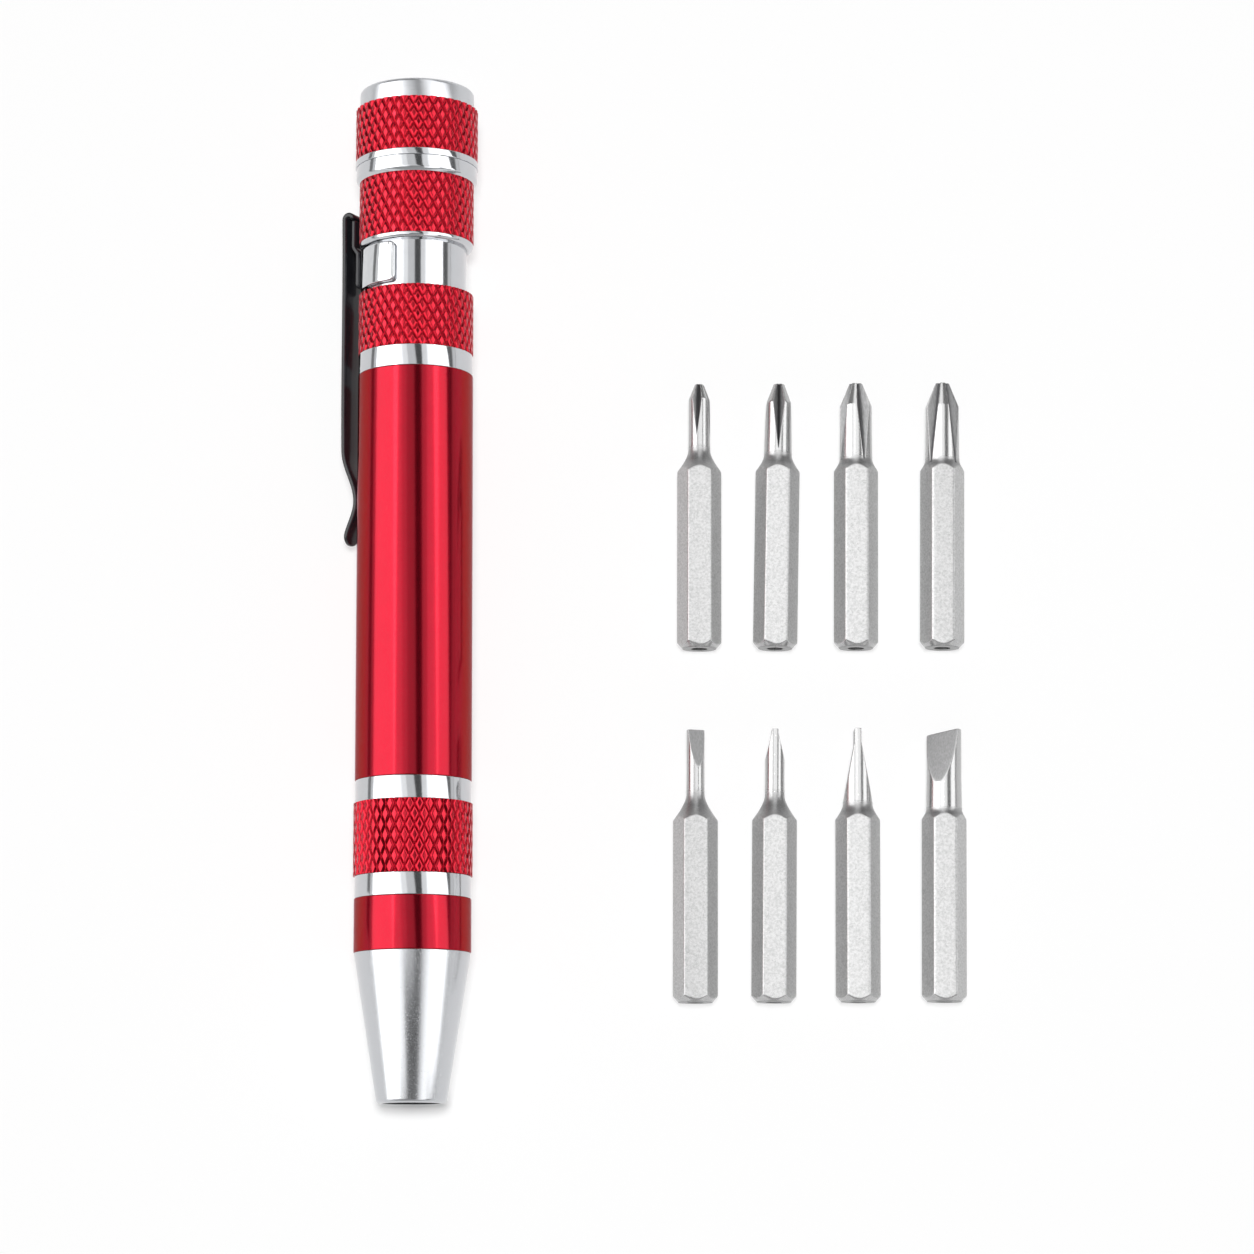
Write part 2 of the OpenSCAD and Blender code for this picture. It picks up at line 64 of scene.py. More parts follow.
class Wire:
    """A value in a material's tree. Sums and products of wires add their own nodes."""

    def __init__(self, tree, socket=None):
        self.tree, self.socket = tree, socket

    def node(self, kind, settings=None, inputs=None, output=0):
        made = self.tree.nodes.new(kind)
        for key, value in (settings or {}).items():
            if key == "stops":
                for stop, (place, tone) in zip(made.color_ramp.elements, value[:2]):
                    stop.position, stop.color = place, (tone, tone, tone, 1)
                for place, tone in value[2:]:
                    made.color_ramp.elements.new(place).color = (tone, tone, tone, 1)
            else:
                setattr(made, key, value)
        for key, value in (inputs or {}).items():
            if isinstance(value, Wire):
                self.tree.links.new(value.socket, made.inputs[key])
            else:
                made.inputs[key].default_value = value
        return Wire(self.tree, made.outputs[output] if len(made.outputs) else None)

    def sum(self, operation, *values):
        return self.node("ShaderNodeMath", {"operation": operation}, dict(enumerate(values)))

    def __add__(self, other):
        return self.sum("ADD", self, other)

    def __sub__(self, other):
        return self.sum("SUBTRACT", self, other)

    def __rsub__(self, other):
        return self.sum("SUBTRACT", other, self)

    def __mul__(self, other):
        return self.sum("MULTIPLY", self, other)

    __radd__, __rmul__ = __add__, __mul__


def new_finish(name):
    material = bpy.data.materials.new(name)
    material.use_nodes = True
    material.node_tree.nodes.clear()
    return material, Wire(material.node_tree)


def blend_colours(draw, share, first, second):
    return draw.node("ShaderNodeMix", {"data_type": "RGBA"}, {0: share, 6: (*first, 1), 7: (*second, 1)}, 2)


def close_finish(draw, inputs):
    draw.node("ShaderNodeOutputMaterial", inputs={
        "Surface": draw.node("ShaderNodeBsdfPrincipled", inputs=inputs)})


def pen_place(draw):
    """Millimetres from the nose tip and from the pen's axis."""
    return draw.node("ShaderNodeMapping", inputs={
        "Vector": draw.node("ShaderNodeTexCoord", output="Object"),
        "Location": (-axis_x / MM, -tip_y / MM, -axis_z / MM), "Scale": (1 / MM, 1 / MM, 1 / MM)})


def turned_finish(name, pale, deep, rough, line_rise, line_spread, mottle_scale, mottle_spread, coat=0.0,
                  edge_tint=(1.0, 1.0, 1.0), satin_from=None, hole_r=0.0):
    """Turned metal: fine tool lines round the pen, and a mottle that dulls it in patches. It can be satin
    from one station on, and inside a hole of radius hole_r it is rougher and painted dark as painted shade."""
    lines_per_mm, satin_rough, hole_rough, painted_hole_shade = 7.0, 0.19, 0.25, (0.04, 0.04, 0.042, 1)
    material, draw = new_finish(name)
    place = pen_place(draw)
    across, along, up = (draw.node("ShaderNodeSeparateXYZ", inputs={0: place}, output=axis) for axis in "XYZ")
    lines = draw.node("ShaderNodeTexNoise", {"noise_dimensions": "1D"},
                      {"W": along * lines_per_mm, "Detail": 3.0, "Roughness": 0.6})
    mottle = draw.node("ShaderNodeTexNoise", inputs={"Vector": place, "Scale": mottle_scale, "Detail": 4.0})
    roughness = rough + line_spread * (lines - 0.5) + mottle_spread * (mottle - 0.5)
    colour = blend_colours(draw, 0.6 * mottle + 0.4 * lines, deep, pale)
    if satin_from:
        roughness = roughness + satin_rough * draw.sum("GREATER_THAN", along, satin_from)
    # Inside the hole the colour is painted dark: painted shade in the recess, not a colour of the metal.
    if hole_r:
        inside = draw.sum("LESS_THAN", across * across + up * up, hole_r * hole_r)
        roughness = roughness + hole_rough * inside
        colour = draw.node("ShaderNodeMix", {"data_type": "RGBA"}, {0: inside, 6: colour, 7: painted_hole_shade}, 2)
    bump = draw.node("ShaderNodeBump", inputs={"Strength": 1.0, "Distance": line_rise * MM,
                                               "Height": lines + mottle * 0.5})
    close_finish(draw, {
        "Base Color": colour, "Metallic": 1.0, "Roughness": roughness, "Normal": bump,
        "Specular Tint": (*edge_tint, 1), "Coat Weight": coat, "Coat Roughness": 0.08, "Coat IOR": 1.5})
    return material


def rounded(corners, steps=5):
    """The outline through corners given as station, radius and the round on that corner."""
    outline = []
    for k, (station, radius, edge) in enumerate(corners):
        here = Vector((station, radius))
        if not edge:
            outline.append(here)
            continue
        back = (Vector(corners[k - 1][:2]) - here).normalized()
        ahead = (Vector(corners[(k + 1) % len(corners)][:2]) - here).normalized()
        half = back.angle(ahead) / 2
        centre = here + (back + ahead).normalized() * (edge / sin(half))
        first, last = (here + way * (edge / tan(half)) - centre for way in (back, ahead))
        start = atan2(first.y, first.x)
        sweep = (atan2(last.y, last.x) - start + pi) % (2 * pi) - pi
        for i in range(steps + 1):
            turn = start + sweep * i / steps
            outline.append(centre + Vector((cos(turn), sin(turn))) * edge)
    return outline


def pick(piece):
    bpy.ops.object.select_all(action="DESELECT")
    piece.select_set(True)
    bpy.context.view_layer.objects.active = piece


def draw_line(name, points):
    """A new piece in edit mode: one line of edges through the points."""
    bpy.ops.object.select_all(action="DESELECT")
    bpy.ops.mesh.primitive_plane_add(size=1)
    piece = bpy.context.object
    piece.name = name
    bpy.ops.object.mode_set(mode="EDIT")
    bpy.ops.mesh.select_all(action="SELECT")
    bpy.ops.mesh.merge(type="CENTER")
    bpy.ops.transform.translate(value=points[0])
    for here, there in zip(points, points[1:]):
        step = [b - a for a, b in zip(here, there)]
        bpy.ops.mesh.extrude_vertices_move(TRANSFORM_OT_translate={"value": step})
    bpy.ops.mesh.select_all(action="SELECT")
    return piece


def turned(name, corners, turns=128):
    """A solid of revolution round the pen's axis."""
    outline = [(p.y, p.x, 0) for p in rounded(corners)]
    if outline[-1][0] > 0:
        outline.append(outline[0])
    piece = draw_line(name, outline)
    bpy.ops.mesh.remove_doubles(threshold=weld)
    bpy.ops.mesh.spin(steps=turns, angle=2 * pi, center=(0, 0, 0), axis=(0, 1, 0))
    bpy.ops.mesh.select_all(action="SELECT")
    bpy.ops.mesh.remove_doubles(threshold=weld)
    bpy.ops.mesh.normals_make_consistent(inside=False)
    bpy.ops.object.mode_set(mode="OBJECT")
    return piece


def cut(piece, cutter):
    pick(piece)
    knife = piece.modifiers.new("cut", "BOOLEAN")
    knife.operation, knife.solver, knife.object = "DIFFERENCE", "EXACT", cutter
    bpy.ops.object.modifier_apply(modifier=knife.name)
    bpy.data.objects.remove(cutter)


def set_on_pen(piece):
    pick(piece)
    piece.location, piece.scale = (axis_x, tip_y, axis_z), (MM, MM, MM)
    bpy.ops.object.transform_apply(location=True, rotation=True, scale=True)


def hand_over(piece, finish, slot, body, *nodes, sharp=32):
    """Smooths a finished piece, gives it its finish, and ties it to its body."""
    piece.data.materials.clear()
    piece.data.materials.append(finish)
    pick(piece)
    bpy.ops.object.shade_smooth_by_angle(angle=radians(sharp))
    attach(piece, body)
    if nodes:
        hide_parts(*nodes)


# The socket's mouth is painted dark inside, as painted shade.
satin_nose = turned_finish(
    "satin_nose", pale=(0.62, 0.63, 0.65), deep=(0.50, 0.51, 0.53), rough=0.24, line_rise=0.0012,
    line_spread=0.06, mottle_scale=6.0, mottle_spread=0.2, hole_r=mouth_r - mouth_lip)
nose = turned("nose_turned", [
    (0, 0, 0), (0, nose_tip_r, nose_edge), (nose_len, ring_r, shoulder_edge), (nose_len, spigot_r, 0),
    (spigot_end, spigot_r, spigot_edge), (spigot_end, 0, 0)])
bpy.ops.mesh.primitive_cylinder_add(vertices=6, radius=socket_af / sqrt(3), depth=2 * socket_depth,
                                    rotation=(pi / 2, 0, 0))
cut(nose, bpy.context.object)
bpy.ops.mesh.primitive_cone_add(
    vertices=96, radius1=mouth_r + cutter_overrun, radius2=0, depth=mouth_r + cutter_overrun,
    location=(0, (mouth_r - cutter_overrun) / 2, 0), rotation=(-pi / 2, 0, 0))
cut(nose, bpy.context.object)
bpy.ops.mesh.primitive_cylinder_add(
    vertices=64, radius=magnet_r, depth=magnet_len + cutter_overrun,
    location=(0, socket_depth + (magnet_len - cutter_overrun) / 2, 0), rotation=(pi / 2, 0, 0))
cut(nose, bpy.context.object)
set_on_pen(nose)
hand_over(nose, satin_nose, "satin_nose", "barrel", "nose_cone")

# Magnet: a small nickel-plated disc, glued in at the bottom of the socket.
# It is the plain disc of the frame, and only its plating is drawn here.
plating, draw = new_finish("magnet_plating")
grain = draw.node("ShaderNodeTexNoise", inputs={"Vector": pen_place(draw), "Scale": 5.0, "Detail": 4.0})
close_finish(draw, {
    "Base Color": blend_colours(draw, grain, (0.30, 0.30, 0.31), (0.46, 0.45, 0.44)),
    "Metallic": 1.0, "Roughness": 0.22 + 0.2 * grain})
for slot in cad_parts["bit_magnet"].material_slots:
    slot.material = plating

# Tube: a thin bright aluminium tube that carries every sleeve and shows bare at the neck.
# Its end has the fine thread that the cap screws on, one ridge wound round a thinner core.
neck_at, neck_end, cap_at, tube_end = 83.9, 88.9, 97.6, 102.85
thread_pitch, thread_core_r, thread_turns = 0.75, 4.97, 6
thread_foot, thread_crest = 0.31, 0.06
thread_root_r, thread_crest_r = thread_core_r - 0.05, tube_r - 0.02
neck_foot_at, neck_foot_end, neck_foot, neck_fillet = neck_at + 0.005, neck_at + 0.03, 0.2, 0.16
thread_shoulder_edge, tube_end_edge, tube_bore_edge = 0.06, 0.12, 0.05

bright_turned = turned_finish(
    "bright_turned", pale=(0.61, 0.62, 0.64), deep=(0.52, 0.53, 0.55), rough=0.1, line_rise=0.0004,
    line_spread=0.05, mottle_scale=1.1, mottle_spread=0.04)
tube = turned("tube_turned", [
    (nose_len, bore_r, 0), (nose_len, tube_r, 0), (neck_foot_at, tube_r, 0),
    (neck_foot_at, tube_r + neck_foot, 0), (neck_foot_end, tube_r, neck_fillet),
    (cap_at, tube_r, thread_shoulder_edge), (cap_at, thread_core_r, 0),
    (tube_end, thread_core_r, tube_end_edge), (tube_end, bore_r, tube_bore_edge)])
set_on_pen(tube)
hand_over(tube, bright_turned, "bright_turned", "barrel", "inner_tube")

thread_at = cap_at + (tube_end - cap_at - thread_pitch * thread_turns) / 2
thread = draw_line("tube_thread", [
    (radius, thread_at + along, 0) for radius, along in (
        (thread_root_r, -thread_foot), (thread_crest_r, -thread_crest), (thread_crest_r, thread_crest),
        (thread_root_r, thread_foot), (thread_root_r, -thread_foot))])
bpy.ops.mesh.remove_doubles(threshold=weld)
bpy.ops.object.mode_set(mode="OBJECT")
winding = thread.modifiers.new("winding", "SCREW")
winding.axis, winding.angle, winding.screw_offset = "Y", 2 * pi, thread_pitch
winding.iterations, winding.steps, winding.render_steps = thread_turns, 72, 72
winding.use_merge_vertices = False
bpy.ops.object.modifier_apply(modifier=winding.name)
bpy.ops.object.mode_set(mode="EDIT")
bpy.ops.mesh.select_all(action="SELECT")
bpy.ops.mesh.remove_doubles(threshold=weld)
bpy.ops.mesh.select_all(action="DESELECT")
bpy.ops.mesh.select_non_manifold()
bpy.ops.mesh.edge_face_add()
bpy.ops.mesh.select_all(action="SELECT")
bpy.ops.mesh.normals_make_consistent(inside=False)
bpy.ops.object.mode_set(mode="OBJECT")
set_on_pen(thread)
hand_over(thread, bright_turned, "bright_turned", "barrel")

# Front sleeve and long sleeve: plain aluminium sleeves, anodised clear red and pressed on the tube.
# Their ends are broken by a small round, which shows as a thin dark line.
front_ring_at, lower_grip_at, lower_ring_at = 20.7, 23.0, 30.45
main_at, collar_ring_at = 32.8, 75.3
sleeve_edge = 0.1

red_anodised = turned_finish(
    "red_anodised", pale=(0.385, 0.0045, 0.0195), deep=(0.32, 0.0036, 0.0155), rough=0.18, line_rise=0.0005,
    line_spread=0.04, mottle_scale=0.5, mottle_spread=0.04, coat=0.28, edge_tint=(0.5, 0.14, 0.2))


def sleeve(name, node, at, end, radius, edge, finish, slot):
    piece = turned(name, [(at, seat_r, 0), (at, radius, edge), (end, radius, edge), (end, seat_r, 0)])
    set_on_pen(piece)
    hand_over(piece, finish, slot, "barrel", node)


sleeve("front_sleeve_turned", "front_sleeve", nose_len, front_ring_at, sleeve_r, sleeve_edge,
       red_anodised, "red_anodised")
sleeve("main_sleeve_turned", "main_sleeve", main_at, collar_ring_at, sleeve_r, sleeve_edge,
       red_anodised, "red_anodised")

# Bright rings: three narrow aluminium rings between the sleeves, turned bright after anodising.
# They stand a hair below the red, so that each meets it in a fine step.
collar_grip_at = 77.5
ring_edge = 0.06
for name, at, end in (("front_ring", front_ring_at, lower_grip_at), ("lower_ring", lower_ring_at, main_at),
                      ("collar_ring", collar_ring_at, collar_grip_at)):
    sleeve(name + "_turned", name, at, end, ring_r, ring_edge, bright_turned, "bright_turned")

# Knurled grips: three aluminium sleeves rolled with a diamond knurl and anodised the same red.
# Crossing grooves leave a flat-topped diamond between them, and the ends are cut square.
upper_grip_at, flange_at = 89.45, 95.95
knurl_pitch, knurl_rise, lower_knurl_rise = 1.04, 1.85, 2.1
knurl_depth, knurl_cells, skin_weld, lower_grip_r = 0.17, 12, 0.0005, 6.11
# The grooves are painted a darker red than the crests: painted shade in the grooves.
crest_red, groove_shade_red = (0.5, 0.010, 0.026), (0.22, 0.002, 0.008)

red_knurled, draw = new_finish("red_knurled")
groove = draw.node("ShaderNodeAttribute", {"attribute_name": "groove"}, output="Fac")
grain = draw.node("ShaderNodeTexNoise", inputs={"Vector": pen_place(draw), "Scale": 3.0, "Detail": 4.0})
# The groove attribute darkens the base colour towards groove_shade_red, which is painted shade.
close_finish(draw, {
    "Base Color": blend_colours(draw, groove + 0.4 * (grain - 0.5), crest_red, groove_shade_red),
    "Metallic": 1.0, "Roughness": 0.21 + 0.12 * (grain - 0.5),
    "Coat Weight": 0.3 - 0.3 * groove, "Coat Roughness": 0.12, "Coat IOR": 1.5})


def reshape(piece, shape, chosen=False):
    """Moves the points of a piece, or the chosen ones, to where shape(x, y, z) puts them."""
    mesh = piece.data
    points = np.empty(len(mesh.vertices) * 3)
    mesh.vertices.foreach_get("co", points)
    points = points.reshape(-1, 3)
    keep = np.empty(len(mesh.vertices), bool)
    mesh.vertices.foreach_get("select", keep)
    keep = keep if chosen else np.ones_like(keep)
    points[keep] = np.stack(shape(*points[keep].T), axis=1)
    mesh.vertices.foreach_set("co", points.ravel())
    mesh.update()


def knurled(name, at, end, outer_r, inner_r, rise, land, cross_share):
    """A sleeve whose skin is a lattice of diamonds, wrapped round the pen. land is the flat share of a crest.
    The grooves that run down to the right are the deep ones, and cross_share is the depth of the others."""
    length = end - at
    count = round(2 * pi * outer_r / knurl_pitch)
    half_wide, half_high = pi * outer_r / count, length / round(2 * length / rise)
    cells = 2 * ceil((count + length / half_high / 2 + 3) / 2)
    bpy.ops.object.select_all(action="DESELECT")
    bpy.ops.mesh.primitive_grid_add(x_subdivisions=cells * knurl_cells, y_subdivisions=cells * knurl_cells,
                                    size=cells * sqrt(2))
    piece = bpy.context.object
    piece.name = name
    bpy.ops.object.mode_set(mode="EDIT")
    bpy.ops.mesh.select_all(action="SELECT")
    bpy.ops.transform.rotate(value=pi / 4, orient_axis="Z", center_override=(0, 0, 0))
    bpy.ops.transform.resize(value=(half_wide, half_high, 1), center_override=(0, 0, 0))
    for side in (-1, 1):
        bpy.ops.mesh.select_all(action="SELECT")
        bpy.ops.mesh.bisect(plane_co=(0, side * length / 2, 0), plane_no=(0, side, 0), clear_outer=True)
    bpy.ops.mesh.select_all(action="DESELECT")
    bpy.ops.object.mode_set(mode="OBJECT")

    def lattice(x, y):
        return x / half_wide + y / half_high, x / half_wide - y / half_high

    centres = np.empty(len(piece.data.polygons) * 3)
    piece.data.polygons.foreach_get("center", centres)
    column = sum(np.floor(line / 2) for line in lattice(*centres.reshape(-1, 3).T[:2])) + 1
    piece.data.polygons.foreach_set("select", (column < -count) | (column >= count))
    bpy.ops.object.mode_set(mode="EDIT")
    bpy.ops.mesh.select_mode(type="FACE")
    bpy.ops.mesh.delete(type="FACE")
    bpy.ops.object.mode_set(mode="OBJECT")

    def wrap(x, y, z):
        steps = [np.clip((np.abs(line % 2 - 1) - land) / (1 - land), 0, 1) for line in lattice(x, y)]
        deep, cross = (step * step * (3 - 2 * step) for step in steps)
        sunk = np.maximum(deep, cross_share * cross)
        piece.data.attributes.new("groove", "FLOAT", "POINT").data.foreach_set("value", sunk)
        radius = outer_r - knurl_depth * sunk
        return radius * np.sin(x / outer_r), y + (at + end) / 2, radius * np.cos(x / outer_r)

    reshape(piece, wrap)
    bpy.ops.object.mode_set(mode="EDIT")
    bpy.ops.mesh.select_mode(type="VERT")
    bpy.ops.mesh.select_all(action="SELECT")
    bpy.ops.mesh.remove_doubles(threshold=skin_weld)
    bpy.ops.mesh.select_all(action="DESELECT")
    bpy.ops.mesh.select_non_manifold()
    bpy.ops.mesh.extrude_edges_move()
    bpy.ops.object.mode_set(mode="OBJECT")
    reshape(piece, lambda x, y, z: (x * inner_r / np.hypot(x, z), y, z * inner_r / np.hypot(x, z)),
            chosen=True)
    bpy.ops.object.mode_set(mode="EDIT")
    bpy.ops.mesh.bridge_edge_loops()
    bpy.ops.mesh.select_all(action="SELECT")
    bpy.ops.mesh.normals_make_consistent(inside=False)
    bpy.ops.object.mode_set(mode="OBJECT")
    set_on_pen(piece)
    return piece


for name, at, end, outer_r, rise, land, cross_share in (
        ("lower_grip", lower_grip_at, lower_ring_at, lower_grip_r, lower_knurl_rise, 0.52, 1.0),
        ("collar_grip", collar_grip_at, neck_at, sleeve_r, knurl_rise, 0.45, 0.75),
        ("upper_grip", upper_grip_at, flange_at, sleeve_r, knurl_rise, 0.45, 0.75)):
    hand_over(knurled(name + "_knurled", at, end, outer_r, seat_r, rise, land, cross_share),
              red_knurled, "red_knurled", "barrel", name, sharp=60)

# Neck ring and flange: bright turned rings at both ends of the upper grip.
# The neck ring is rounded down to the neck, and the flange is the seat that the cap screws down on.
flange_r, flange_bevel_end, flange_bevel_edge, flange_edge = 6.35, 96.28, 0.4, 0.05
neck_ring_edge, seam_edge = 0.46, 0.04
neck_ring = turned("neck_ring_turned", [
    (neck_end, seat_r, 0), (neck_end, ring_r, neck_ring_edge), (upper_grip_at, ring_r, seam_edge),
    (upper_grip_at, seat_r, 0)])
set_on_pen(neck_ring)
hand_over(neck_ring, bright_turned, "bright_turned", "barrel", "neck_ring")
flange = turned("flange_turned", [
    (flange_at, seat_r, 0), (flange_at, sleeve_r, seam_edge), (flange_bevel_end, flange_r, flange_bevel_edge),
    (cap_at, flange_r, flange_edge), (cap_at, seat_r, 0)])
set_on_pen(flange)
hand_over(flange, bright_turned, "bright_turned", "barrel", "flange_ring")

# Cap: a turned aluminium cup with a lip, a bright end band with a soft edge, and a knurled red sleeve.
# The sleeve is pressed over the cup's waist.
# A black rubber ring in the mouth keeps the cap from working loose.
cap_lip_r, cap_lip_end, cap_waist_r, cap_band_at, cap_end, cap_grip_r = 6.45, 98.3, 5.85, 103.9, 106.0, 6.42
cap_bore_r, cap_bore_end, seal_pocket_r, seal_pocket_end = 5.3, 102.95, 5.84, 98.24
cap_bore_edge, cap_mouth_edge, cap_lip_edge, cap_step_edge = 0.1, 0.03, 0.06, 0.08
cap_band_edge, cap_end_edge, cap_satin_at, cap_grip_bore_r = 0.05, 0.42, cap_band_at - 0.1, cap_waist_r + 0.02
cap = turned("cap_turned", [
    (cap_bore_end, 0, 0), (cap_bore_end, cap_bore_r, cap_bore_edge), (seal_pocket_end, cap_bore_r, 0),
    (seal_pocket_end, seal_pocket_r, 0), (cap_at, seal_pocket_r, cap_mouth_edge),
    (cap_at, cap_lip_r, cap_lip_edge), (cap_lip_end, cap_lip_r, cap_step_edge),
    (cap_lip_end, cap_waist_r, 0), (cap_band_at, cap_waist_r, 0),
    (cap_band_at, sleeve_r, cap_band_edge), (cap_end, sleeve_r, cap_end_edge), (cap_end, 0, 0)])
set_on_pen(cap)
cap_bright = turned_finish(
    "cap_bright", pale=(0.61, 0.62, 0.64), deep=(0.52, 0.53, 0.55), rough=0.1, line_rise=0.0005,
    line_spread=0.06, mottle_scale=1.1, mottle_spread=0.04, satin_from=cap_satin_at)
hand_over(cap, cap_bright, "bright_turned", "cap", "cap_shell")
cap_grip = knurled("cap_grip_knurled", cap_lip_end, cap_band_at, cap_grip_r, cap_grip_bore_r, knurl_rise,
                   land=0.45, cross_share=0.8)
hand_over(cap_grip, red_knurled, "red_knurled", "cap", "cap_grip", sharp=60)

rubber, draw = new_finish("seal_rubber")
grain = draw.node("ShaderNodeTexNoise", inputs={"Vector": pen_place(draw), "Scale": 9.0, "Detail": 3.0})
close_finish(draw, {
    "Base Color": blend_colours(draw, grain, (0.012, 0.012, 0.012), (0.03, 0.03, 0.03)),
    "Roughness": 0.5 + 0.25 * grain,
    "Normal": draw.node("ShaderNodeBump", inputs={"Strength": 0.6, "Distance": 0.02 * MM, "Height": grain})})
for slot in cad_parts["cap_seal"].material_slots:
    slot.material = rubber

# Pocket clip: a bright plated spring band that snaps round the neck, and a black leaf of the same sheet.
# Each is blanked flat with rounded corners and then bent: the band round the neck, the leaf over its tab.
clip_sheet, clip_drop, clip_wrap = 0.5, radians(26), radians(192)
band_at, band_end, band_r, band_corner = 84.4, 88.67, 5.3, 0.69
tab_w, tab_r, tab_foot_at, tab_step_at, tab_step_end = 3.96, 6.3, 85.2, 88.75, 89.75
leaf_w, leaf_tip_w, leaf_r, leaf_belly, leaf_tip_at = 4.6, 2.6, 7.25, 0.3, 58.0
bend_at, bend_r, bend_gap = 92.675, 7.025, 0.45
band_edge, tab_edge, leaf_edge = 0.2, 0.17, 0.17
tab_corner, tab_lap_share, tab_end_gap, leaf_tip_share = 0.5, 1.46, 0.1, 0.98
band_cuts, tab_cuts, leaf_cuts = 81, 40, 90
tab_steps, bend_steps, leaf_steps = 12, 24, 141
tongue_at, tongue_low_at, tongue_low_r, tongue_flare = 68.0, 62.5, 6.15, 1.3

clip_bright, draw = new_finish("clip_bright")
place = pen_place(draw)
haze = draw.node("ShaderNodeTexNoise", inputs={"Vector": place, "Scale": 1.6, "Detail": 4.0})
close_finish(draw, {
    "Base Color": blend_colours(draw, haze, (0.58, 0.59, 0.61), (0.68, 0.69, 0.70)),
    "Metallic": 1.0, "Roughness": 0.05 + 0.05 * haze,
    "Normal": draw.node("ShaderNodeBump", inputs={"Strength": 1.0, "Distance": 0.002 * MM, "Height": haze})})

clip_black, draw = new_finish("clip_black")
place = pen_place(draw)
haze = draw.node("ShaderNodeTexNoise", inputs={"Vector": place, "Scale": 0.9, "Detail": 4.0})
close_finish(draw, {
    "Base Color": blend_colours(draw, haze, (0.008, 0.008, 0.010), (0.018, 0.018, 0.022)),
    "Metallic": 0.0, "Roughness": 0.1 + 0.12 * haze, "Specular IOR Level": 0.45,
    "Normal": draw.node("ShaderNodeBump", inputs={"Strength": 1.0, "Distance": 0.003 * MM, "Height": haze})})


def blank(name, outline, cuts, sheet_edge):
    """A flat sheet of that outline with rounded edges, scored across at each cut so that it can be bent."""
    piece = draw_line(name, [(*point, 0) for point in outline + outline[:1]])
    bpy.ops.mesh.remove_doubles(threshold=weld)
    bpy.ops.mesh.edge_face_add()
    for along in cuts:
        bpy.ops.mesh.select_all(action="SELECT")
        bpy.ops.mesh.bisect(plane_co=(along, 0, 0), plane_no=(1, 0, 0))
    bpy.ops.mesh.select_all(action="SELECT")
    bpy.ops.mesh.normals_make_consistent(inside=False)
    bpy.ops.object.mode_set(mode="OBJECT")
    wall = piece.modifiers.new("wall", "SOLIDIFY")
    wall.thickness, wall.offset = clip_sheet, 0
    bpy.ops.object.modifier_apply(modifier=wall.name)
    edge = piece.modifiers.new("edge", "BEVEL")
    edge.width, edge.segments, edge.limit_method, edge.angle_limit = sheet_edge, 3, "ANGLE", radians(50)
    edge.use_clamp_overlap = False
    bpy.ops.object.modifier_apply(modifier=edge.name)
    return piece


def rounded_blank(corners):
    return [(point.x, point.y) for point in rounded(corners, steps=7)]


def bent(piece, path):
    """Bends a blank along a path of radius and station, out on the side where the clip lies."""
    path = np.array(path)
    run = np.concatenate([[0], np.cumsum(np.hypot(*np.diff(path, axis=0).T))])
    slope = np.gradient(path, run, axis=0)
    slope /= np.hypot(*slope.T)[:, None]

    def shape(x, y, z):
        radius, station, along_r, along_s = (
            np.interp(x, run, values) for values in (*path.T, *slope.T))
        radius, station = radius - along_s * z, station + along_r * z
        return (-cos(clip_drop) * radius + sin(clip_drop) * y, station,
                -sin(clip_drop) * radius - cos(clip_drop) * y)

    reshape(piece, shape)
    set_on_pen(piece)


band_mid_r = band_r + clip_sheet / 2
band_len = clip_wrap * band_mid_r
band = blank("clip_band_bent", rounded_blank([
    (-band_len / 2, band_at, band_corner), (band_len / 2, band_at, band_corner),
    (band_len / 2, band_end, band_corner), (-band_len / 2, band_end, band_corner)]),
    np.linspace(-band_len / 2, band_len / 2, band_cuts)[1:-1], band_edge)
reshape(band, lambda x, y, z: ((band_mid_r + z) * np.cos(x / band_mid_r + pi + clip_drop), y,
                               (band_mid_r + z) * np.sin(x / band_mid_r + pi + clip_drop)))
set_on_pen(band)
hand_over(band, clip_bright, "clip_bright", "clip", "clip_band")

tab_foot_r = band_r + tab_lap_share * clip_sheet
tab_mid_r = tab_r + clip_sheet / 2
tab_path = [(tab_foot_r, tab_foot_at)] + [
    (tab_foot_r + (tab_mid_r - tab_foot_r) * (1 - cos(pi * k / tab_steps)) / 2,
     tab_step_at + (tab_step_end - tab_step_at) * k / tab_steps) for k in range(tab_steps + 1)
] + [(tab_mid_r, bend_at - tab_end_gap)]
tab_len = float(np.hypot(*np.diff(np.array(tab_path), axis=0).T).sum())
tab = blank("clip_tab_bent", rounded_blank([
    (0, -tab_w / 2, tab_corner), (tab_len, -tab_w / 2, 0),
    (tab_len, tab_w / 2, 0), (0, tab_w / 2, tab_corner)]),
    np.linspace(0, tab_len, tab_cuts)[1:-1], tab_edge)
bent(tab, tab_path)
hand_over(tab, clip_black, "clip_black", "clip")


def leaf_inner(at):
    """Radius of the leaf's inner face: a slight belly, then down to the sleeve and off again."""
    def ease(t):
        return (1 - cos(pi * t)) / 2
    if at > tongue_at:
        return leaf_r + leaf_belly * ease((bend_at - at) / (bend_at - tongue_at))
    if at > tongue_low_at:
        return leaf_r + leaf_belly + (tongue_low_r - leaf_r - leaf_belly) * ease(
            (tongue_at - at) / (tongue_at - tongue_low_at))
    return tongue_low_r + tongue_flare * ease((tongue_low_at - at) / (tongue_low_at - leaf_tip_at))


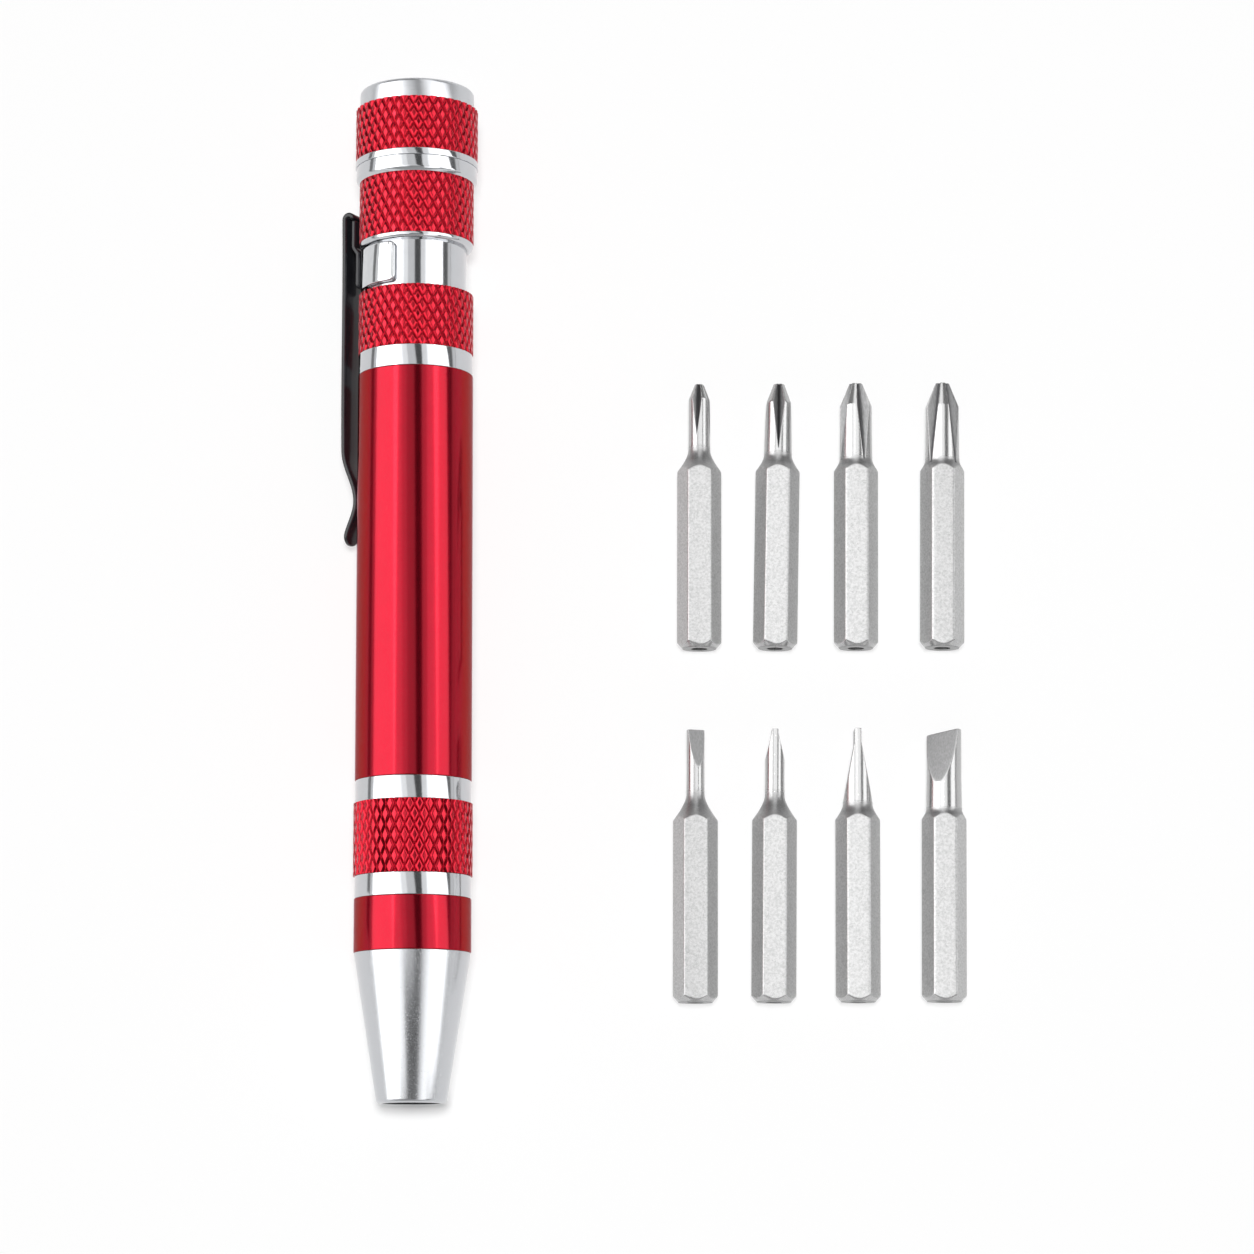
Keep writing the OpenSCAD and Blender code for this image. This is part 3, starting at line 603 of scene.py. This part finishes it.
bend_mid = bend_gap / 2 + clip_sheet / 2
leaf_path = [(bend_r - bend_mid * cos(pi * k / bend_steps), bend_at + bend_mid * sin(pi * k / bend_steps))
             for k in range(bend_steps + 1)]
leaf_path += [(leaf_inner(at) + clip_sheet / 2, at)
              for at in np.linspace(bend_at, leaf_tip_at, leaf_steps)[1:]]
leaf_len = float(np.hypot(*np.diff(np.array(leaf_path), axis=0).T).sum())
leaf_tip_corner = leaf_tip_share * leaf_tip_w / 2
leaf = blank("clip_leaf_bent", rounded_blank([
    (0, -leaf_w / 2, 0), (pi * bend_mid, -leaf_w / 2, 0), (leaf_len, -leaf_tip_w / 2, leaf_tip_corner),
    (leaf_len, leaf_tip_w / 2, leaf_tip_corner), (pi * bend_mid, leaf_w / 2, 0), (0, leaf_w / 2, 0)]),
    np.concatenate([np.linspace(0, pi * bend_mid, bend_steps + 1)[1:],
                    np.linspace(pi * bend_mid, leaf_len, leaf_cuts)[1:-1]]), leaf_edge)
bent(leaf, leaf_path)
hand_over(leaf, clip_black, "clip_black", "leaf", "clip_leaf")

# Bits: eight loose bits of plated tool steel, each a hex bar turned down to a round shank.
# The cross points are fluted with four grooves, and the slot points are ground to a blade from two sides.
# Each is drawn as one skin of rings from base to tip, held in by its flats, its turning and its grinding.
hex_af, hex_len, bit_len = 4.1, 18.7, 28.3
hex_r = hex_af / sqrt(3)
base_r, base_bevel, dimple_r, dimple_depth = 1.75, 0.7, 0.85, 0.4
flare_share, flare_power = 1.9, 1.5
point_slope, point_end_share = tan(radians(22)), 0.2
flute_root_share, flute_len_share, valley_wide = 0.11, 2.5, 0.13
bits_start, bit_pitch, slot_row, cross_row = 29.6, 8.5, 24.5, 61.3
bit_columns, flare_step, shank_step, far_out = 216, 0.06, 0.09, 40
edge_power, flat_power = 90.0, 36.0
shank_taper, taper_free, taper_len = 0.04, 5, 4
dull_at, dull_share = [0, 0.02, 0.6, 0.95, 1.3], [0, 0.4, 0.95, 0.6, 0]
blade_round = 0.12

bit_steel, draw = new_finish("bit_steel")
place = draw.node("ShaderNodeMapping", inputs={
    "Vector": draw.node("ShaderNodeTexCoord", output="Object"), "Scale": (1 / MM, 1 / MM, 1 / MM)})
turned_part = draw.node("ShaderNodeAttribute", {"attribute_name": "turned_part"}, output="Fac")
ground_part = draw.node("ShaderNodeAttribute", {"attribute_name": "ground_part"}, output="Fac")
valley_part = draw.node("ShaderNodeAttribute", {"attribute_name": "valley_part"}, output="Fac")
speckle = draw.node("ShaderNodeTexNoise", inputs={
    "Vector": place, "Scale": 4.5, "Detail": 4.0, "Roughness": 0.75})
scratch_place = draw.node("ShaderNodeMapping", inputs={"Vector": place, "Scale": (7.0, 0.9, 7.0)})
scratches = draw.node("ShaderNodeTexNoise", inputs={"Vector": scratch_place, "Scale": 2.0, "Detail": 3.0})
plain_part = (1.0 - turned_part) * (1.0 - ground_part)
tone = (0.35 + 1.5 * (speckle - 0.5) * plain_part + 0.5 * (1.0 - ground_part)
        + 0.5 * (scratches - 0.5) * ground_part)
# The flute roots are painted darker through valley_part: painted shade in the flutes.
close_finish(draw, {
    "Base Color": blend_colours(draw, tone - 0.5 * valley_part, (0.08, 0.08, 0.083), (0.55, 0.55, 0.55)),
    "Metallic": 0.8,
    "Roughness": 0.2 + 0.16 * plain_part + 0.14 * ground_part + 0.2 * plain_part * (speckle - 0.5),
    "Normal": draw.node("ShaderNodeBump", inputs={
        "Strength": 1.0, "Distance": 0.01 * MM, "Height": plain_part * speckle + ground_part * scratches})})


def bit(name, across, along, lean, shank_d, turn, end_round, blade=None, slant=0.0):
    """One bit. blade gives a slot bit's thickness, ground length and parallel end. Without it, the bit gets
    the cross."""
    shank_r = shank_d / 2
    flare_len = (hex_r - shank_r) * flare_share
    end_r = shank_d * point_end_share if blade is None else shank_r
    point_at = bit_len - (shank_r - end_r) / point_slope
    stations = np.concatenate([
        np.linspace(0, base_bevel + 0.3, 12), np.linspace(2, hex_len - 1, 6),
        np.arange(hex_len - 0.4, hex_len + flare_len, flare_step),
        np.arange(hex_len + flare_len, bit_len - 0.02, shank_step), [bit_len - end_round * end_r * 0.5]])
    stations = np.unique(np.round(stations, 4))
    stations = stations[stations < bit_len - end_round * end_r * 0.45]
    swell = np.clip((stations - hex_len) / flare_len, 0, 1)
    turning = np.where(stations < hex_len, base_r + (hex_r - base_r) * stations / base_bevel,
                       shank_r + (hex_r - shank_r) * (1 - swell) ** flare_power
                       + shank_taper * shank_r * np.clip((bit_len - stations - taper_free) / taper_len, 0, 1))
    if blade is None:
        turning = np.where(stations > point_at, end_r + (bit_len - stations) * point_slope, turning)
    dome = np.linspace(0, 1, 7)[1:]
    top = stations[-1]
    stations = np.concatenate([[dimple_depth, dimple_depth, 0], stations,
                               top + (bit_len - top) * np.sin(dome * pi / 2)])
    shrink = np.concatenate([[0, dimple_r / base_r, dimple_r / base_r], np.ones(len(turning)),
                             np.cos(dome * pi / 2) ** (0.5 if end_round > 0.5 else 0.35)])
    turning = np.concatenate([[base_r] * 3, turning, [turning[-1]] * len(dome)])[:, None]
    rings = stations[:, None]
    angle = np.linspace(0, 2 * pi, bit_columns + 1)[None, :]
    flats = hex_af / 2 * sum(np.maximum(np.cos(angle - k * pi / 3), 0) ** flat_power for k in range(6)) ** (
        -1 / flat_power) * np.ones_like(rings)
    limits = [flats, turning * np.ones_like(angle)]
    facing = angle - radians(turn)
    if blade is None:
        root = shank_d * flute_root_share + (bit_len - rings) * (
            shank_r - shank_d * flute_root_share) / (shank_d * flute_len_share)
        away = (facing + pi / 4) % (pi / 2) - pi / 4
        grind = root / np.maximum(np.cos(away) - np.abs(np.sin(away)), 1e-3)
        # valley_shade marks the root of each flute, where the colour is painted darker as painted shade.
        valley_shade = np.exp(-(away * root / valley_wide) ** 2)
    else:
        thick, ground, land = blade
        half = thick / 2 + np.maximum(bit_len - land - rings, 0) * (shank_r - thick / 2) / (ground - land)
        grind = half / np.maximum(np.abs(np.cos(facing)), 1e-3)
        valley_shade = np.zeros_like(grind)
    reach = shank_d * flute_len_share if blade is None else blade[1]
    limits.append(np.where(rings < bit_len - reach, far_out, np.minimum(grind, far_out)))
    weights = np.stack([(1.0 / limit) ** edge_power for limit in limits])
    radius = weights.sum(0) ** (-1 / edge_power) * shrink[:, None]
    shares = weights / weights.sum(0)
    along_bit = rings * np.ones_like(angle)
    if slant:
        sideways = radius * np.sin(facing)
        along_bit = along_bit - tan(slant) * (shank_r - sideways) * np.clip(
            (rings - bit_len + blade[1]) / blade[1], 0, 1)
    bpy.ops.object.select_all(action="DESELECT")
    bpy.ops.mesh.primitive_grid_add(x_subdivisions=bit_columns, y_subdivisions=len(stations) - 1, size=1)
    piece = bpy.context.object
    piece.name = name + "_ground"
    points = np.stack([radius * np.sin(angle), along_bit - bit_len / 2, radius * np.cos(angle)], axis=-1)
    piece.data.vertices.foreach_set("co", points.ravel())
    shares[1, :4], shares[2, :4] = 0, 1
    valley_shade = valley_shade * shares[2]
    dull = shares[1] * np.interp((rings - hex_len) / flare_len, dull_at, dull_share)
    shares[1:] += np.stack([-dull, dull])
    for part, share in (("turned_part", shares[1]), ("ground_part", shares[2]), ("valley_part", valley_shade)):
        piece.data.attributes.new(part, "FLOAT", "POINT").data.foreach_set("value", share.ravel())
    bpy.ops.object.mode_set(mode="EDIT")
    bpy.ops.mesh.select_all(action="SELECT")
    bpy.ops.mesh.remove_doubles(threshold=skin_weld)
    bpy.ops.mesh.normals_make_consistent(inside=False)
    bpy.ops.object.mode_set(mode="OBJECT")
    piece.location = (axis_x + across * MM, tip_y + along * MM, hex_af / 2 * MM)
    piece.rotation_euler, piece.scale = (0, 0, -radians(lean)), (MM, MM, MM)
    pick(piece)
    bpy.ops.object.transform_apply(location=True, rotation=True, scale=True)
    hand_over(piece, bit_steel, "bit_steel", name, name, sharp=40)


for name, column, lean, shank_d, turn, end_round in (
        ("cross_bit_000", 0, 0.4, 2.25, -14, 0.9), ("cross_bit_00", 0.96, 1.4, 2.85, 0, 0.9),
        ("cross_bit_0", 1.935, 0.75, 3.35, 27, 0.3), ("cross_bit_1", 3, 1, 3.5, 45, 0.3)):
    bit(name, bits_start + bit_pitch * column, cross_row, lean, shank_d, turn, end_round)
for name, column, lean, shank_d, turn, blade, slant in (
        ("slot_bit_15", -0.075, 0.4, 1.85, 20, (0.45, 3.9, 0.1), 0),
        ("slot_bit_20", 0.885, 0.8, 2, 90, (0.66, 3.2, 0.4), 0),
        ("slot_bit_30", 1.9, 0.6, 3, 90, (0.68, 7.6, 1.5), 0),
        ("slot_bit_35", 2.95, 0.9, 3.6, -25, (0.8, 5.7, 0.1), radians(10))):
    bit(name, bits_start + bit_pitch * column, slot_row, lean, shank_d, turn, blade_round, blade, slant)

# Floor: a plain white sheet that everything lies on. It shows its own white to the lens, and the shadows.
# Close in front of the nose it gives up that white, so that the shadow there stays deep.
# Far to the left, metal sees a darker stretch of it, which draws a thin dark line along the pen.
floor_size, own_white, mirrored_white, nose_shade = 8, 0.68, 0.4, 0.6
shade_ahead, shade_wide, shade_deep = 0.1 * MM, 8 * MM, 2.2 * MM
dark_from, dark_front = 75 * MM, -30 * MM
sheet_tone, dark_tone = (0.97, 0.97, 0.97, 1), (0.3, 0.3, 0.3, 1)
bpy.ops.object.select_all(action="DESELECT")
bpy.ops.mesh.primitive_plane_add(size=floor_size)
floor = bpy.context.object
floor.name = "floor"
white_sheet, draw = new_finish("white_sheet")
rays = "ShaderNodeLightPath"
seen = draw.sum("MAXIMUM", draw.node(rays, output="Is Camera Ray"),
                draw.node(rays, output="Is Transmission Ray"))
mirrored = draw.node(rays, output="Is Glossy Ray")
place = draw.node("ShaderNodeTexCoord", output="Object")
spot = draw.node("ShaderNodeMapping", {"vector_type": "TEXTURE"}, {
    "Vector": place, "Location": (axis_x, tip_y - shade_ahead, 0), "Scale": (shade_wide, shade_deep, 1)})
off_nose = draw.node("ShaderNodeVectorMath", {"operation": "LENGTH"}, {0: spot}, "Value")
near_nose = draw.sum("MAXIMUM", 1.0 - off_nose, 0.0)
across, along = (draw.node("ShaderNodeSeparateXYZ", inputs={0: place}, output=axis) for axis in "XY")
far_left = draw.sum("LESS_THAN", across, axis_x - dark_from) * draw.sum("GREATER_THAN", along, dark_front)
sheet = draw.node("ShaderNodeMixShader", inputs={
    0: (own_white - nose_shade * near_nose) * seen + (mirrored_white - mirrored_white * near_nose) * mirrored,
    1: draw.node("ShaderNodeBsdfDiffuse", inputs={"Color": sheet_tone}),
    2: draw.node("ShaderNodeEmission", inputs={"Color": (1, 1, 1, 1), "Strength": 1.0})})
draw.node("ShaderNodeOutputMaterial", inputs={"Surface": draw.node("ShaderNodeMixShader", inputs={
    0: far_left * mirrored, 1: sheet, 2: draw.node("ShaderNodeBsdfDiffuse", inputs={"Color": dark_tone})})})
floor.data.materials.append(white_sheet)

# Light: softboxes at the sides and banks overhead, which show only in reflections, a key that gives the plain
# light and the shadows, and a pale room with a dim ceiling.
# Angles are from the vertical about the pen's axis, so each lamp draws its own stripe on the turned metal.
power_of_radiance = 4


def lamp(name, angle, distance, wide, long, radiance, middle_y, twist=0.0, pivot_y=0.0, aside=0.0):
    """An area lamp that faces the pen from that angle and distance. twist turns it about its own facing."""
    light = bpy.data.lights.new(name, "AREA")
    light.shape, light.size, light.size_y = "RECTANGLE", wide, long
    light.energy = radiance * power_of_radiance * wide * long
    made = bpy.data.objects.new(name, light)
    bpy.context.scene.collection.objects.link(made)
    made.visible_camera = made.visible_diffuse = False
    aside -= (middle_y - pivot_y) * tan(radians(twist))
    made.matrix_world = (Matrix.Translation((axis_x, middle_y, axis_z)) @ Matrix.Rotation(angle, 4, "Y")
                         @ Matrix.Translation((aside, 0, distance)) @ Matrix.Rotation(radians(twist), 4, "Z"))
    return made


def side_lamp(name, first, last, distance, long, radiance, middle_y, twist=0.0, pivot_y=0.0):
    middle, half = radians((first + last) / 2), radians((last - first) / 2)
    lamp(name, middle, distance, 2 * distance * tan(half), long, radiance, middle_y, twist, pivot_y)


def over_lamp(name, first, last, height, long, radiance, middle_y, twist, pivot_y):
    near, far = (height * tan(radians(a)) for a in (first, last))
    lamp(name, 0, height, far - near, long, radiance, middle_y, twist, pivot_y, (near + far) / 2)


side_lamp("left_softbox", -82, -33, 0.5, 0.66, 2.05, 0.02)
side_lamp("right_softbox", 45, 72, 0.5, 0.56, 1.7, 0.04, 18, 0.1)
for name, first, last, height, low_y, high_y, radiance, twist in (
        ("left_bank_outer", -39, -22, 0.3, -0.2, 0.38, 1.35, 14),
        ("left_bank_middle", -22, -12, 0.3, -0.08, 0.38, 0.95, 14),
        ("left_bank_inner", -12, 4, 0.3, -0.09, 0.38, 0.6, 14),
        ("right_bank_inner", 17, 27, 0.06, -0.12, 0.18, 0.8, 5.4),
        ("right_bank_outer", 27, 50, 0.06, -0.12, 0.18, 1.35, 5.4)):
    over_lamp(name, first, last, height, high_y - low_y, radiance, (low_y + high_y) / 2, twist, height / 5)
key = lamp("key", 0, 0.7, 0.12, 0.12, 71.0, -0.005, aside=-axis_x)
key.visible_diffuse, key.visible_glossy = True, False

world = bpy.data.worlds.new("room")
bpy.context.scene.world = world
world.use_nodes = True
world.node_tree.nodes.clear()
draw = Wire(world.node_tree)
way = draw.node("ShaderNodeTexCoord", output="Generated")
height, depth = (draw.node("ShaderNodeSeparateXYZ", inputs={0: way}, output=axis) for axis in "ZY")
room = draw.node("ShaderNodeValToRGB", {"stops": [(0.0, 0.85), (1.0, 0.1), (0.1, 0.85), (0.15, 0.17)]},
                 {0: height})
front = draw.node("ShaderNodeValToRGB", {"stops": [(0.3, 0.0), (0.7, 0.3)]}, {0: 0.0 - depth})
draw.node("ShaderNodeOutputWorld", inputs={
    "Surface": draw.node("ShaderNodeBackground", inputs={"Color": room + front})})

# Camera: looks down from a little in front of the nose, through a long lens.
# It stands far enough off that the pen and the bits stay nearly parallel.
eye, aim = Vector((-2.81, -67.5, 389.6)) * MM, Vector((-2.81, -4.21, 6.45)) * MM
camera_data = bpy.data.cameras.new("camera")
camera_data.sensor_width, camera_data.lens = 36, 107.94
camera_data.clip_start, camera_data.clip_end = 0.01, 20
camera = bpy.data.objects.new("camera", camera_data)
bpy.context.scene.collection.objects.link(camera)
camera.matrix_world = (Matrix.Translation(eye) @ (aim - eye).to_track_quat("-Z", "Y").to_matrix().to_4x4()
                       @ Matrix.Rotation(radians(-0.2), 4, "Z"))
bpy.context.scene.camera = camera
bpy.context.scene.view_settings.view_transform = "Standard"
